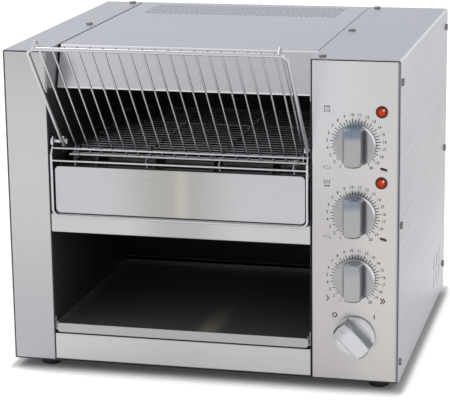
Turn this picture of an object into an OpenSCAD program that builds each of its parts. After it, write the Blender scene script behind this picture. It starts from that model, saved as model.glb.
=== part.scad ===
// Conveyor toaster for a counter: a wire belt carries bread between quartz
// elements and drops it down a chute onto a landing tray at the front.
// Millimetres. The front faces -Y, +X is to the right and the feet stand on z = 0.

/* [Casing] */
// Width of the left bay, from the outside to the oven wall
left_bay_w = 52.5; // [46:0.5:70]
// Clear width of the oven between its two walls
chamber_w = 310; // [300:1:350]
// Width of the right bay, which holds the controls and the motor
right_bay_w = 102.5; // [98:0.5:130]
// Depth of the casing from front to back
body_d = 405; // [400:1:440]
// Height of the casing above its feet
body_h = 375; // [370:1:400]
// Thickness of the folded sheet
sheet = 1; // [0.8:0.1:1.3]
// Outside radius of the folds
bend_r = 2; // [1.5:0.1:3]
// Depth of the folded edges behind the front and back panels
return_d = 20; // [16:1:24]
// Gap under the front panels
skirt_gap = 1.5; // [1.4:0.1:3]
// Open seam between the left cover and the top panel
seam_l = 2.5; // [1:0.1:4]
// Seam between the top panel and the right cover
seam_r = 1; // [0.5:0.1:3]
// Clearance between sheets that lie beside each other
fit = 0.2; // [0.1:0.05:0.3]

/* [Feet] */
// Height of the rubber feet
foot_h = 10; // [6:0.5:20]
// Diameter of the rubber feet at the top
foot_d = 26; // [20:1:34]
// Distance of the left feet from the left side
foot_in_l = 39; // [30:1:44]
// Distance of the right feet from the right side
foot_in_r = 25.5; // [22:0.5:40]
// Distance of the feet from the front and the back
foot_in_y = 22; // [18:1:60]

/* [Front] */
// Height of the apron under the landing tray
apron_h = 33; // [28:0.5:36]
// Height of the tray's lip above the casing's bottom edge
lip_z = 36; // [35:0.5:40]
// Height of the tray's lip
lip_h = 11; // [9:0.5:16]
// Height of the lintel's lower edge above the casing's bottom edge
lintel_z = 159; // [140:1:163]
// Height of the lintel
lintel_h = 23; // [18:0.5:23]
// Height of the inner panel behind the guard
inner_h = 55.5; // [45:0.5:57]
// Depth of the inner panel's folded edges
inner_fold = 8; // [5:0.5:10]
// Height of the sloping hood above the slot
hood_h = 49; // [45:1:57]
// Distance of the hood's lower edge behind the front
hood_y = 32; // [26:1:36]
// Distance of the hood's upper edge behind the front
hood_top_y = 50; // [46:1:56]
// Depth of the hem along the hood's lower edge
hem_d = 6; // [3:0.5:10]

/* [Vents] */
// Diameter of the round holes in the top panel
vent_hole_d = 3.4; // [2.5:0.1:4]
// Distance between neighbouring holes along a row
vent_pitch = 7.2; // [6:0.1:10]
// Distance between rows of holes
vent_row = 6.2; // [5.5:0.1:9]
// Number of rows of holes
vent_rows = 13; // [6:1:13]
// Distance of the last row from the back of the casing
vent_back = 24; // [21:1:40]
// Distance of the vent from the oven's walls
vent_side = 26; // [20:1:60]
// Length of a slot in the back panel and the right cover
slot_l = 18; // [12:1:20]
// Width of such a slot
slot_w = 3; // [2:0.5:4]
// Distance between such slots
slot_pitch = 7.5; // [6:0.5:9]

/* [Controls] */
// Height of the upper heat dial above the casing's bottom edge
dial_1_z = 278; // [270:1:300]
// Height of the lower heat dial
dial_2_z = 197; // [190:1:205]
// Height of the speed dial
dial_3_z = 122; // [115:1:130]
// Height of the main switch
switch_z = 53.7; // [45:0.1:58]
// Diameter of the knobs
knob_d = 48; // [40:1:52]
// How far the knobs stand out from the panel
knob_h = 21; // [16:0.5:26]
// Thickness of a knob's skirt
skirt_t = 3.5; // [2.5:0.5:5]
// Width of a knob's grip at its foot
grip_w = 25; // [18:0.5:28]
// Diameter of the spindles
spindle_d = 6; // [5:0.5:7]
// Diameter of a lamp's bezel
lamp_d = 14; // [11:0.5:18]
// Height of a lamp above its dial
lamp_up = 38.5; // [36:0.5:42]
// Distance of a lamp to the right of its dial
lamp_right = 30; // [26:0.5:34]

/* [Rack] */
// Diameter of the rack's frame wire
wire_d = 4.4; // [3.6:0.1:4.8]
// Diameter of the guard's wire
guard_d = 3; // [2.5:0.1:3.4]
// Diameter of the rack's finger wires
finger_d = 2.2; // [1.8:0.1:2.4]
// Number of gaps between the rack's wires
rack_gaps = 20; // [16:1:24]
// Length of the rack from its pivots to its top bar
rack_len = 172; // [150:1:180]
// Slope of the rack from the horizontal
rack_slope = 49.5; // [46:0.5:58]
// Distance of the rack's left side from the guard's
rack_left = 13.6; // [12:0.2:16]
// Radius of the rack's top corners
rack_corner = 10; // [7:0.5:14]
// How far the fingers run down past the pivots
finger_drop = 19; // [16:0.5:21]
// How far the side guides stand above the fingers
guide_h = 8; // [7:0.5:12]
// Height of the pivots above the casing's bottom edge
pivot_z = 267.5; // [266:0.5:272]
// Distance of the pivots behind the front
pivot_y = 7; // [6.5:0.1:8]
// Diameter of the pivot pins
pin_d = 5; // [4:0.2:5.4]
// Height of the guard's bottom wire above the casing's bottom edge
guard_z = 180; // [176:0.5:181]
// Radius of the guard's bottom corners
guard_corner = 8; // [6:0.5:12]

/* [Conveyor] */
// Distance between the belt's rods
belt_pitch = 12.7; // [12:0.1:13]
// Number of teeth on the belt's sprockets, an even number
belt_teeth = 12; // [12:2:14]
// Number of pitches between the two shafts
belt_span = 20; // [18:1:20]
// Gap between the belt and the oven's walls
belt_side = 17; // [15:0.5:35]
// Diameter of the belt's rods
rod_d = 2; // [1.6:0.1:2.4]
// Distance of the front shaft behind the front
idler_y = 45; // [44:0.5:48]
// Height of the shafts above the casing's bottom edge
shaft_z = 227.5; // [226:0.5:229]
// Diameter of the shafts
shaft_d = 12; // [10:0.5:14]
// Thickness of the belt's sprockets
sprocket_t = 3; // [2:0.5:5]
// Pitch of the drive chain
chain_pitch = 6.35; // [6:0.05:6.5]
// Number of teeth on the chain's sprockets, an even number
chain_teeth = 16; // [14:2:18]
// Number of chain pitches between the motor and the drive shaft
chain_span = 14; // [13:1:15]

/* [Heating] */
// Diameter of the quartz elements
element_d = 11; // [9:0.5:13]
// Number of elements above the belt
upper_count = 4; // [3:1:5]
// Number of elements inside the belt
lower_count = 3; // [2:1:3]
// Distance of the upper elements below the top of the casing
upper_down = 35; // [33:1:37]

/* [Landing] */
// Height of the tray's floor above the casing's bottom edge
tray_z = 40; // [38:0.5:42]
// Length of the tray from front to back
tray_l = 290; // [260:1:295]
// Height of the tray's sides
tray_side = 9; // [6:0.5:10]
// Gap between the tray and the oven walls
tray_gap = 2.5; // [2.2:0.1:4]
// Radius of the chute's curve
chute_r = 95; // [80:1:100]
// Height of the chute's toe above the tray's floor
toe_up = 10.5; // [10.5:0.5:14]

/* [Hidden] */
$fn = 48;

cut = 5;                    // how far a cut runs past a sheet on each side
seat = 0.3;                 // gap at which one body rests on another
run = 0.05;                 // radial clearance of a shaft in its bush
base_z = foot_h;
top_z = base_z + body_h;
body_w = left_bay_w + chamber_w + right_bay_w;
x_l = -body_w / 2;          // outside of the left cover
x_r = body_w / 2;           // outside of the right cover
in_l = x_l + sheet;
in_r = x_r - sheet;
oven_l = x_l + left_bay_w;  // oven side of the left wall
oven_r = oven_l + chamber_w;
oven_x = (oven_l + oven_r) / 2;
cover_edge = 0.5;           // the covers' edges stay this far off the oven's inner faces
flange_w = 19;
flange_in = return_d + 3;
pan_edge_h = 14;
panel_z = base_z + skirt_gap;
panel_top = top_z - 2 * sheet - fit;

// Screws
screw_r = 1.9;
screw_hole_r = 2.2;
head_r = 4.3;
head_h = 2.4;
screw_l = 7;
head_round = 1;
top_screw_in = 11.8;
top_screw_y = [14, body_d / 2, body_d - 12];
side_screw_y = [11, body_d - 15];
side_screw_z = [[23, body_h / 2 - 2.5, body_h - 26], [34, body_h / 2 + 5.5, body_h - 22]];
back_screw_z = [40, body_h / 2 + 2.5, body_h - 30];

// Slots
side_cols = 3;
side_rows = 2;
side_col_pitch = 25;
side_row_pitch = slot_l + 4;
side_slot_in = 52;
side_slot_z = 35;
back_cols = 5;
back_rows = 10;
back_slot_x = 56;
back_slot_z = 240;

// Controls
panel_x = (oven_r + sheet + in_r) / 2;
knob_z = [dial_1_z, dial_2_z, dial_3_z, switch_z];
knob_turn = [0, 0, 0, 45];  // the switch points to its left mark at rest
knob_gap = 1;
neck_r = spindle_d / 2 + 2;
neck_out = 3;
neck_room = 0.6;
skirt_rim = 3;
skirt_edge = 1.2;
grip_in = 1;
grip_taper = 2.75;
grip_round = 160;
grip_bevel = 1;
mark_w = 1.2;
mark_l = 11;
mark_deep = 0.6;
control_corner = 3;
control_w = [34, 34, 30, 38];
control_h = [34, 34, 40, 38];
control_deep = [36, 36, 18, 42];
spindle_in = 11;
spindle_cap = 5;
lamp_rim = 1.5;
lamp_proud = 1.4;
lamp_ledge = 0.4;
lamp_back = 6;
lamp_stem = 4.5;
lamp_stem_l = 18;
lens_r = lamp_d / 2 - 0.9;
lens_dome = 3;

// Rack
wire_r = wire_d / 2;
guard_r = guard_d / 2;
finger_r = finger_d / 2;
pin_r = pin_d / 2;
eye_r = pin_r + run + wire_r;
guard_gap = 1.6;            // between the guard's uprights and the walls
guard_y = -seat - guard_r;
guard_half = chamber_w / 2 - guard_gap - guard_r;
rack_half = guard_half - rack_left / 2;
rack_x = rack_left / 2;     // middle of the rack, to the right of the oven's middle
finger_side = 13.35;
rack_pitch = 2 * (rack_half - finger_side) / (rack_gaps - 2);
finger_in = wire_r + finger_r;
finger_past = [1, 2];
low_half = rack_half - 3;
guide_side = 8.5;
guide_r = 5;
guide_past = 1;
guide_top = rack_len + wire_r + finger_r;
lean_down = 15;
lean_way = [pivot_y - guard_y, lean_down] / norm([pivot_y - guard_y, lean_down]);
lean_top = [pivot_y, pivot_z] - (eye_r + wire_r) * lean_way;
cross_down = [21.5, 7.5];
eye_turn = 250;             // an eye stops short of its side wire
pin_gap = 0.4;
pin_head = 2;
pin_rim = 1.2;
pin_out = 4;
nut_r = pin_r + 2;
nut_t = 3;
wall_out = chamber_w / 2 + sheet;

// Conveyor
belt_w = chamber_w - 2 * belt_side;
belt_r = belt_pitch / (2 * sin(180 / belt_teeth));
rod_r = rod_d / 2;
shaft_r = shaft_d / 2;
axis_z = base_z + shaft_z;
drive_y = idler_y + belt_span * belt_pitch;
sprocket_x = spread(33 - belt_w / 2, belt_w / 2 - 33, 4);
arm_x = spread(6.5 - belt_w / 2, belt_w / 2 - 6.5, 4);
arm_t = 1.5;
arm_r = rod_r + 1.2;
bush_r = shaft_r + 3;
bush_flange = 2;
bush_rim = 3;
bush_l = 9;
shaft_out = 2;
shaft_past = 8;
shaft_in = 8;
hub_wall = 4;
hub_l = 12;
chain_hub_wall = 3;
chain_hub_l = 10;
rail_under = 3.5;
rail_in = 6;
rail_h = 8;
motor_z = axis_z - chain_span * chain_pitch;
roller_r = 1.6;
chain_in = 1.8;
link_t = 0.8;
link_gap = 0.1;
link_r = 2.4;
chain_x = oven_r + sheet + 46;
pin_wire = 0.9;
spacer_l = 6;
box_x = oven_r + sheet + spacer_l;
box_w = 28;
box_half = 30;
box_low = motor_z - box_half - 6;
box_corner = 7;
boss_wall = 6;
boss_out = 3;
bolt_in = 7;
bolt_r = 2.2;
spacer_r = 5;
motor_r = 23;
motor_h = 84;
motor_cap = 14;
motor_x = box_x + motor_r - 4;

// Heating
element_r = element_d / 2;
element_gap = 1;
holder_r = element_r + 3;
holder_l = 10;
holder_bore = 8;
upper_z = body_h - upper_down;
reflector_z = base_z + upper_z + element_r + 6;
reflector_over = 24;
upper_first = 92;
upper_last = drive_y - 22;
lower_first = idler_y + belt_r + 22;
lower_last = drive_y - belt_r - 22;

// Landing
floor_z = base_z + tray_z;
toe_z = floor_z + sheet + toe_up;
chute_back = body_d - 2 * sheet - 5;
chute_top = axis_z + belt_r + 40;
toe_y = tray_l - 6;
front_fold = 16;
inner_corner = 5;
shield_edge = 9;
tray_back_h = 6;
runner_w = 10;
runner_h = 16;
runner_short = 10;

// Cord entry
gland_out = 18;
gland_in = 12;
gland_r = 8;
gland_hex = 5;
gland_wall = 2.5;
gland_tip = 4;
foot_taper = 1.5;
foot_edge = 1;
gland_nut = 4;
gland_x = in_r - 28;
gland_z = base_z + 45;
cord_r = 4;

// Terminal block
block = [40, 20, 18];
block_in = [45, 60];
block_pitch = 10;
block_hole_r = 2.5;
block_hole_l = 8;

// Places the front plane so that the whole object is centred on the origin
rack_reach = (eye_r + guide_past) * sin(rack_slope) + (guide_top + finger_r) * cos(rack_slope) - pivot_y;
front_y = (rack_reach - body_d - gland_out) / 2;

// Evenly spaced places from a to b
function spread(a, b, n) = [for (i = [0 : n - 1]) n == 1 ? (a + b) / 2 : a + (b - a) * i / (n - 1)];

// Joint i of a chain round two equal sprockets that are span pitches apart
function loop_point(i, pitch, teeth, span) =
    let (
        half = span + teeth / 2,
        r = pitch / (2 * sin(180 / teeth)),
        back = i % (2 * half) >= half,
        k = i % half,
        turn = max(0, k - span) * 360 / teeth,
        p = [min(k, span) * pitch + r * sin(turn), r * cos(turn)]
    )
    back ? [span * pitch - p[0], -p[1]] : p;

module at_front() {
    translate([0, front_y, 0]) children();
}

module box(a, b) {
    translate(a) cube(b - a);
}

module rod_x(x, y, z, r, len) {
    translate([x, y, z]) rotate([0, 90, 0]) cylinder(r = r, h = len);
}

module rod_y(x, y, z, r, len) {
    translate([x, y, z]) rotate([-90, 0, 0]) cylinder(r = r, h = len);
}

// A round bar between two points
module bar(a, b, r) {
    d = b - a;
    translate(a) rotate([0, acos(d[2] / norm(d)), atan2(d[1], d[0])]) cylinder(r = r, h = norm(d));
}

// A profile in the YZ plane, extruded along +X from x
module side_section(x, len) {
    translate([x, 0, 0]) rotate([90, 0, 90]) linear_extrude(len) children();
}

// A profile in the XZ plane, extruded along +Y from y
module front_section(y, len) {
    translate([0, y + len, 0]) rotate([90, 0, 0]) linear_extrude(len) children();
}

module round_rect(a, b, r) {
    for (x = [a[0] + r, b[0] - r], y = [a[1] + r, b[1] - r]) translate([x, y]) circle(r);
    translate([a[0] + r, a[1]]) square([b[0] - a[0] - 2 * r, b[1] - a[1]]);
    translate([a[0], a[1] + r]) square([b[0] - a[0], b[1] - a[1] - 2 * r]);
}

// Plan of a sheet with both edges folded back, its front along y = 0
module channel(w, d, t, r) {
    difference() {
        folded(w, d, r);
        translate([t, t]) folded(w - 2 * t, d, r - t);
    }
}

module folded(w, d, r) {
    for (x = [r, w - r]) translate([x, r]) circle(r);
    translate([r, 0]) square([w - 2 * r, d]);
    translate([0, r]) square([w, d - r]);
}

// Section of a cover that wraps one upper corner, measured from the corner
module wrap(w, h, t, r) {
    translate([r, -t]) square([w - r, t]);
    translate([0, -h]) square([t, h - r]);
    intersection() {
        translate([r, -r]) difference() {
            circle(r);
            circle(r - t);
        }
        translate([0, -r]) square(r);
    }
}

// A quarter or more of a bent round wire, about the z axis
module bend(r, wire, angle) {
    rotate_extrude(angle = angle) translate([r, 0]) circle(wire);
}

// Places for the three groups of screws, each with +Z pointing out of the casing
module top_screw_places() {
    for (x = [oven_l - top_screw_in, oven_r + top_screw_in], y = top_screw_y)
        translate([x, y, top_z]) children();
}

module side_screw_places() {
    for (s = [-1, 1], i = [0, 1], z = side_screw_z[i])
        translate([s * body_w / 2, side_screw_y[i], base_z + z]) rotate([0, s * 90, 0]) children();
}

module back_screw_places() {
    for (x = [oven_l - top_screw_in, oven_r + top_screw_in], z = back_screw_z)
        translate([x, body_d, base_z + z]) rotate([-90, 0, 0]) children();
}

module screw() {
    inner = head_r - head_round;
    low = head_h - head_round;
    translate([0, 0, -screw_l]) cylinder(r = screw_r, h = screw_l);
    rotate_extrude() {
        square([inner, head_h]);
        square([head_r, low]);
        translate([inner, low]) intersection() {
            circle(head_round);
            square(head_round);
        }
    }
}

module screw_hole() {
    translate([0, 0, -cut]) cylinder(r = screw_hole_r, h = 2 * cut);
}

// A round hole through an upright sheet that faces along X
module side_hole(x, y, z, r) {
    rod_x(x - cut, y, z, r, 2 * cut);
}

module base_pan() {
    color("dimgray") at_front() {
        box([in_l, 0, base_z], [in_r, body_d - sheet, base_z + sheet]);
        for (x = [in_l, in_r - sheet])
            box([x, flange_in, base_z + sheet], [x + sheet, body_d - flange_in, base_z + pan_edge_h]);
    }
}

// One wall of the oven; s is -1 for the left wall and 1 for the right one
module oven_wall(face, s) {
    upper = spread(upper_first, upper_last, upper_count);
    lower = spread(lower_first, lower_last, lower_count);
    outer = face + s * sheet;
    edge = face + s * flange_w;
    low = min(outer, edge);
    high = max(outer, edge);
    difference() {
        union() {
            box([min(face, outer), 0, base_z + sheet], [max(face, outer), body_d - sheet, top_z - sheet]);
            box([low, 3 * sheet, top_z - 2 * sheet], [high, body_d - sheet, top_z - sheet]);
            box([low, flange_in, base_z + sheet], [high, body_d - sheet, base_z + 2 * sheet]);
            box([low, body_d - 2 * sheet, base_z + sheet], [high, body_d - sheet, top_z - sheet]);
        }
        for (y = [idler_y, drive_y]) side_hole(face, y, axis_z, bush_r + fit);
        for (y = upper) side_hole(face, y, base_z + upper_z, element_r + element_gap);
        for (y = lower) side_hole(face, y, axis_z, element_r + element_gap);
        side_hole(face, pivot_y, base_z + pivot_z, pin_r + fit);
        top_screw_places() screw_hole();
        back_screw_places() screw_hole();
    }
}

module left_oven_wall() {
    color("gainsboro") at_front() oven_wall(oven_l, -1);
}

module right_oven_wall() {
    color("gainsboro") at_front() oven_wall(oven_r, 1);
}

module left_cover() {
    color("silver") at_front() difference() {
        front_section(0, body_d) translate([x_l, top_z]) wrap(left_bay_w - cover_edge, body_h, sheet, bend_r);
        top_screw_places() screw_hole();
        side_screw_places() screw_hole();
    }
}

module right_cover() {
    color("silver") at_front() difference() {
        front_section(0, body_d) translate([x_r, top_z]) mirror([1, 0])
            wrap(right_bay_w - cover_edge, body_h, sheet, bend_r);
        top_screw_places() screw_hole();
        side_screw_places() screw_hole();
        side_slots();
    }
}

// Cooling slots beside the motor
module side_slots() {
    for (i = [0 : side_cols - 1], j = [0 : side_rows - 1]) {
        y = body_d - side_slot_in - i * side_col_pitch;
        z = base_z + side_slot_z + j * side_row_pitch;
        translate([x_r, y, z]) rotate([0, 0, 90]) rotate([0, 90, 0]) slot(slot_l);
    }
}

// A round-ended slot along X that cuts through a sheet in the XZ plane
module slot(len) {
    r = slot_w / 2;
    front_section(-cut, 2 * cut) {
        for (x = [r - len / 2, len / 2 - r]) translate([x, 0]) circle(r);
        translate([r - len / 2, -r]) square([len - 2 * r, 2 * r]);
    }
}

module left_facia() {
    color("silver") at_front() difference() {
        translate([in_l, 0, panel_z]) linear_extrude(panel_top - panel_z)
            channel(oven_l - sheet - in_l, return_d, sheet, bend_r);
        side_screw_places() screw_hole();
        nut_holes();
    }
}

module control_panel() {
    left = oven_r + sheet + cover_edge;
    color("lightgray") at_front() difference() {
        translate([left, 0, panel_z]) linear_extrude(panel_top - panel_z)
            channel(in_r - left, return_d, sheet, bend_r);
        for (z = knob_z) rod_y(panel_x, -cut, base_z + z, neck_r + fit, 2 * cut);
        lamp_places() rod_y(0, -cut, 0, lamp_d / 2 - lamp_rim + fit, 2 * cut);
        side_screw_places() screw_hole();
        nut_holes();
    }
}

// Room in the panels' folded edges for the nuts on the rack's pins
module nut_holes() {
    translate([oven_x, pivot_y, base_z + pivot_z]) for (s = [-1, 1])
        rotate([0, s * 90, 0]) translate([0, 0, wall_out]) cylinder(r = nut_r + seat, h = cut);
}

module lamp_places() {
    for (z = [dial_1_z, dial_2_z]) translate([panel_x + lamp_right, 0, base_z + z + lamp_up]) children();
}

module top_panel() {
    left = oven_l - cover_edge + seam_l;
    right = oven_r + cover_edge - seam_r;
    top = top_z - sheet;
    low = top_z - hood_h;
    run_back = hood_top_y - hood_y;
    slant = sheet * norm([run_back, top_z - low]) / (top_z - low);
    color("lightsteelblue") at_front() {
        difference() {
            box([left, hood_top_y, top], [right, body_d - cover_edge, top_z]);
            vent_holes();
        }
        side_section(left, right - left) polygon([
            [hood_top_y, top_z], [hood_y, low + sheet], [hood_y, low], [hood_y + hem_d, low],
            [hood_y + hem_d, low + sheet], [hood_y + slant, low + sheet], [hood_top_y + slant, top]
        ]);
    }
}

// Staggered rows of round holes towards the back of the top panel
module vent_holes() {
    n = floor((chamber_w - 2 * vent_side) / vent_pitch);
    for (row = [0 : vent_rows - 1], i = [0 : n - row % 2]) {
        x = oven_x + (i - n / 2 + (row % 2) / 2) * vent_pitch;
        translate([x, body_d - vent_back - row * vent_row, top_z - sheet - cut])
            cylinder(r = vent_hole_d / 2, h = 2 * cut, $fn = 16);
    }
}

module back_panel() {
    left = oven_l + fit;
    right = oven_r - fit;
    color("silver") at_front() difference() {
        union() {
            translate([in_r, body_d, panel_z]) rotate([0, 0, 180]) linear_extrude(panel_top - panel_z)
                channel(in_r - in_l, return_d, sheet, bend_r);
            box([left, body_d - sheet, panel_top - cut], [right, body_d, top_z - sheet]);
            box([left, body_d - return_d, top_z - 2 * sheet], [right, body_d - sheet, top_z - sheet]);
        }
        side_screw_places() screw_hole();
        back_screw_places() screw_hole();
        for (i = [0 : back_cols - 1], j = [0 : back_rows - 1]) {
            x = oven_x + (i - (back_cols - 1) / 2) * back_slot_x;
            translate([x, body_d, base_z + back_slot_z + j * slot_pitch]) slot(2 * slot_l);
        }
        gland_place() rod_y(0, -cut, 0, gland_r + fit, 2 * cut);
    }
}

module lintel() {
    z = base_z + lintel_z;
    color("silver") at_front() translate([oven_l + fit, 0, z + lintel_h]) rotate([0, 90, 0])
        linear_extrude(chamber_w - 2 * fit) channel(lintel_h, front_fold, sheet, bend_r);
}

module apron() {
    color("silver") at_front() translate([oven_l + fit, 0, panel_z + apron_h]) rotate([0, 90, 0])
        linear_extrude(chamber_w - 2 * fit) channel(apron_h, front_fold, sheet, bend_r);
}

// Sheet that closes the lower heating space, between the guard's wires
module inner_panel() {
    low = base_z + lintel_z + lintel_h + sheet + fit;
    high = low + inner_h;
    half = guard_half - guard_r - guard_gap;
    corner = inner_corner;
    edge = half - corner;
    color("silver") at_front() {
        front_section(sheet, sheet) round_rect([oven_x - half, low], [oven_x + half, high], corner);
        for (z = [low, high - sheet])
            box([oven_x - edge, 2 * sheet, z], [oven_x + edge, 2 * sheet + inner_fold, z + sheet]);
    }
}

// Crumb and heat shield under the belt; it is the ceiling of the landing space
module belt_shield() {
    z = base_z + lintel_z + lintel_h;
    color("dimgray") at_front() front_section(2 * sheet, drive_y + shaft_r + 10) {
        translate([oven_l + fit, z]) square([chamber_w - 2 * fit, sheet]);
        for (x = [oven_l + fit, oven_r - fit - sheet]) translate([x, z]) square([sheet, shield_edge]);
    }
}

module return_chute() {
    mid = toe_z + chute_r;
    color("dimgray") at_front() side_section(oven_l + fit, chamber_w - 2 * fit) {
        translate([chute_back - sheet, mid]) square([sheet, chute_top - mid]);
        translate([toe_y, toe_z]) square([chute_back - chute_r - toe_y, sheet]);
        translate([chute_back - chute_r, mid]) intersection() {
            difference() {
                circle(chute_r);
                circle(chute_r - sheet);
            }
            translate([0, -chute_r]) square(chute_r);
        }
    }
}

module upper_reflector() {
    front = upper_first - reflector_over;
    back = upper_last + reflector_over;
    low = reflector_z + sheet - shield_edge;
    color("silver") at_front() side_section(oven_l + fit, chamber_w - 2 * fit) {
        translate([front, reflector_z]) square([back - front, sheet]);
        for (y = [front, back - sheet]) translate([y, low]) square([sheet, shield_edge]);
    }
}

module landing_tray() {
    left = oven_l + tray_gap;
    right = oven_r - tray_gap;
    lip = base_z + lip_z;
    color("silver") at_front() {
        front_section(0, sheet) round_rect([left, lip], [right, lip + lip_h], 2 * bend_r);
        box([left, sheet, floor_z], [right, tray_l, floor_z + sheet]);
        for (x = [left, right - sheet])
            box([x, sheet, floor_z + sheet], [x + sheet, tray_l, floor_z + tray_side]);
        box([left + sheet, tray_l - sheet, floor_z + sheet], [right - sheet, tray_l, floor_z + tray_back_h]);
    }
}

module tray_runners() {
    z = floor_z - seat - sheet;
    ledge = tray_gap + sheet + runner_w;
    color("gray") at_front() translate([oven_x, 0, 0]) for (m = [0, 1]) mirror([m, 0, 0])
        front_section(sheet + seat, tray_l - runner_short) {
            translate([-chamber_w / 2, z]) square([sheet, runner_h]);
            translate([-chamber_w / 2, z]) square([ledge, sheet]);
        }
}

// A bent wire in the YZ plane that starts at the angle from
module side_bend(x, y, z, r, wire, from, angle) {
    translate([x, y, z]) rotate([90, 0, 90]) rotate([0, 0, from]) bend(r, wire, angle);
}

// The rack is drawn in its own frame: pivots on x, top bar at +Y, bread on the -Z side
module in_rack() {
    at_front() translate([oven_x + rack_x, pivot_y, base_z + pivot_z]) rotate([180 - rack_slope, 0, 0])
        translate([0, 0, eye_r]) children();
}

// Thick bent wire: top bar, sides and an eye round each pivot pin
module rack_frame() {
    $fn = 32;
    side = rack_half;
    c = rack_corner;
    color("lightgray") {
        in_rack() {
            for (s = [-1, 1]) {
                bar([s * side, 0, 0], [s * side, rack_len - c, 0], wire_r);
                translate([s * (side - c), rack_len - c, 0]) rotate([0, 0, 45 - s * 45]) bend(c, wire_r, 90);
            }
            bar([c - side, rack_len, 0], [side - c, rack_len, 0], wire_r);
        }
        at_front() translate([oven_x, 0, base_z]) {
            left_eyes();
            rack_eye(guard_half);
        }
    }
}

// Point on the leaning end of the guard's upright, a distance below the pivots
function lean_point(down) =
    let (
        low = [guard_y, pivot_z - lean_down],
        z = pivot_z - down
    )
    [low[0] + (lean_top[0] - low[0]) * max(0, z - low[1]) / (lean_top[1] - low[1]), z];

module rack_eye(x) {
    side_bend(x, pivot_y, pivot_z, eye_r, wire_r, 270 - rack_slope, eye_turn);
}

// On the left a second eye carries the guard; the two are joined behind the pin
module left_eyes() {
    side = rack_x - rack_half;
    back = pivot_y + eye_r;
    rack_eye(side);
    side_bend(-guard_half, pivot_y, pivot_z, eye_r, wire_r, 0, 360);
    bar([side, back, pivot_z], [-guard_half, back, pivot_z], guard_r);
}

// Thinner wire below the pivots, butt-welded to the outer eyes, with two cross wires
module rack_guard() {
    c = guard_corner;
    low = pivot_z - lean_down;
    color("lightgray") at_front() translate([oven_x, 0, base_z]) {
        for (s = [-1, 1]) {
            bar([s * guard_half, guard_y, guard_z + c], [s * guard_half, guard_y, low], guard_r);
            translate([s * guard_half, guard_y, low]) sphere(r = guard_r);
            bar([s * guard_half, guard_y, low], [s * guard_half, lean_top[0], lean_top[1]], guard_r);
            translate([s * (guard_half - c), guard_y, guard_z + c]) rotate([90, 0, 0])
                rotate([0, 0, s > 0 ? -90 : 180]) bend(c, guard_r, 90);
        }
        bar([c - guard_half, guard_y, guard_z], [guard_half - c, guard_y, guard_z], guard_r);
        for (down = cross_down) {
            p = lean_point(down);
            bar([-guard_half, p[0], p[1]], [guard_half, p[0], p[1]], finger_r);
        }
    }
}

// Fingers, their lower bar, and two short stays that join the bar to the guard
module rack_fingers() {
    off = pin_r + run + guard_r;
    bar_y = pivot_y - off * sin(rack_slope) + finger_drop * cos(rack_slope);
    bar_z = pivot_z - off * cos(rack_slope) - finger_drop * sin(rack_slope);
    low = guard_r - wire_r;
    from = [bar_y, bar_z];
    to = lean_point(cross_down[0]);
    way = (to - from) / norm(to - from);
    a = from + way * guard_r;
    b = to - way * finger_r;
    stay_x = rack_half - rack_pitch;
    color("lightgray") {
        in_rack() {
            for (i = [1 : rack_gaps - 1]) translate([(i - rack_gaps / 2) * rack_pitch, 0, -finger_in])
                bar([0, -finger_drop - finger_past[0], 0], [0, rack_len + finger_past[1], 0], finger_r);
            bar([-low_half, -finger_drop, low], [low_half, -finger_drop, low], guard_r);
        }
        at_front() translate([oven_x + rack_x, 0, base_z]) for (x = [-stay_x, stay_x])
            bar([x, a[0], a[1]], [x, b[0], b[1]], finger_r);
    }
}

// Raised wires that keep the bread off the rack's sides; they hook over the top bar
module rack_guides() {
    top = guide_top;
    low = -finger_drop;
    r = guide_r;
    high = finger_in + guide_h;
    color("lightgray") in_rack() for (s = [-1, 1]) {
        x = s * (rack_half - guide_side);
        bar([x, low + r, -high], [x, top - r, -high], finger_r);
        bar([x, top, r - high], [x, top, guide_past], finger_r);
        bar([x, low, r - high], [x, low, -wire_r], finger_r);
        side_bend(x, top - r, r - high, r, finger_r, 270, 90);
        side_bend(x, low + r, r - high, r, finger_r, 180, 90);
    }
}

module rack_pins() {
    color("silver") at_front() translate([oven_x, pivot_y, base_z + pivot_z]) for (s = [-1, 1])
        rotate([0, s * 90, 0]) {
            end = rack_half + s * rack_x - wire_r - pin_gap;
            translate([0, 0, end]) cylinder(r = pin_r, h = wall_out + pin_out - end);
            translate([0, 0, end - pin_head]) cylinder(r = pin_r + pin_rim, h = pin_head);
            translate([0, 0, wall_out]) difference() {
                cylinder(r = nut_r, h = nut_t, $fn = 6);
                translate([0, 0, -1]) cylinder(r = pin_r + run, h = nut_t + 2);
            }
        }
}

// Frame of the belt's loop: x from the middle of the belt, y and z from the front shaft
module in_loop() {
    at_front() translate([oven_x, idler_y, axis_z]) children();
}

// One strand: a rod with arms whose eyes turn on the next rod
module strand(i) {
    p = loop_point(i, belt_pitch, belt_teeth, belt_span);
    q = loop_point(i + 1, belt_pitch, belt_teeth, belt_span);
    way = (i % 2 - 0.5) * (arm_t + seat);
    difference() {
        union() {
            rod_x(-belt_w / 2, p[0], p[1], rod_r, belt_w);
            for (x = arm_x) side_section(x + way - arm_t / 2, arm_t) translate(p)
                rotate(atan2(q[1] - p[1], q[0] - p[0])) link_shape(belt_pitch, arm_r);
        }
        for (x = arm_x) rod_x(x + way - arm_t, q[0], q[1], rod_r + run, 2 * arm_t);
    }
}

module link_shape(pitch, r) {
    circle(r);
    translate([pitch, 0]) circle(r);
    translate([0, -r]) square([pitch, 2 * r]);
}

module conveyor_belt() {
    color("dimgray") in_loop() for (i = [0 : 2 * belt_span + belt_teeth - 1]) strand(i);
}

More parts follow.
